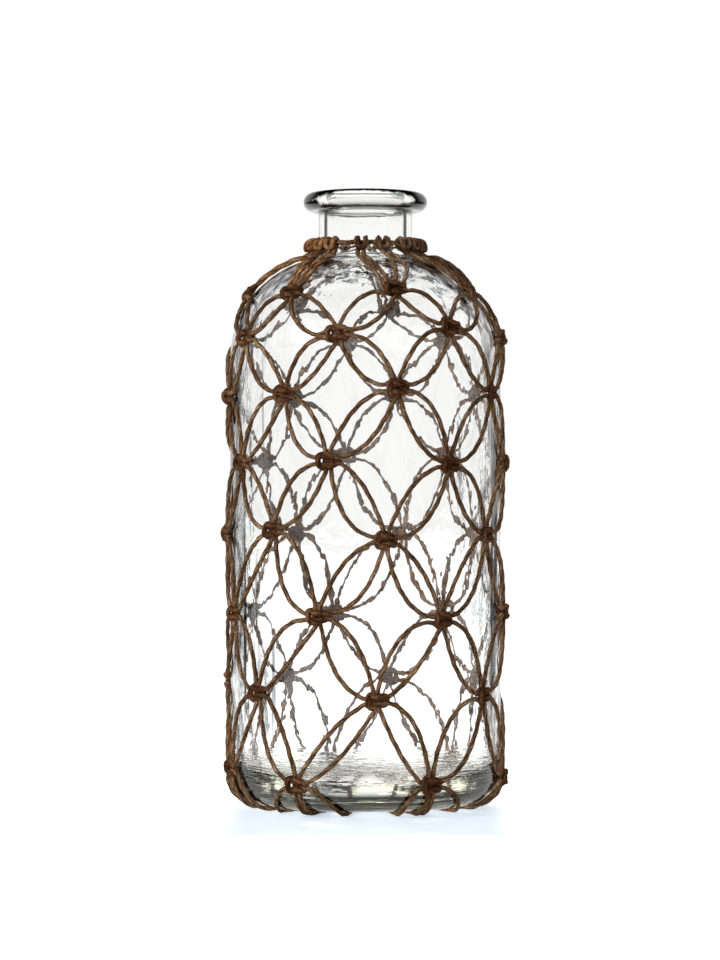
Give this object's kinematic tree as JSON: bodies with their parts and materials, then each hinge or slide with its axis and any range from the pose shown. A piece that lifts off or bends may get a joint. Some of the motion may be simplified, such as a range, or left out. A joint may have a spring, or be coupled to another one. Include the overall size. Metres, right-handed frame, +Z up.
{
  "type": "bottle",
  "caption": "Clear glass bottle with a cylindrical body, domed shoulder, short neck and rolled lip, standing in a net of knotted jute cord",
  "frame": {"origin": "on the bottle's axis, on the surface that it stands on", "axes": "+Z up along the bottle's axis, out of its mouth; -Y towards the picture's viewer; +X to the viewer's right"},
  "size_m": [0.1179, 0.1178, 0.2512],
  "materials": {
    "glass": "clear, polished, with a faint green tint where it is thick",
    "jute": "matt twisted jute twine"
  },
  "bodies": {
    "root": {"glass_bottle": "glass", "neck_cord": "jute", "net_cord_01": "jute", "net_cord_02": "jute", "net_cord_03": "jute", "net_cord_04": "jute", "net_cord_05": "jute", "net_cord_06": "jute", "net_cord_07": "jute", "net_cord_08": "jute", "net_cord_09": "jute", "net_cord_10": "jute", "net_cord_11": "jute", "net_cord_12": "jute", "net_cord_13": "jute", "net_cord_14": "jute", "base_bundle": "jute"}
  },
  "joints": []
}
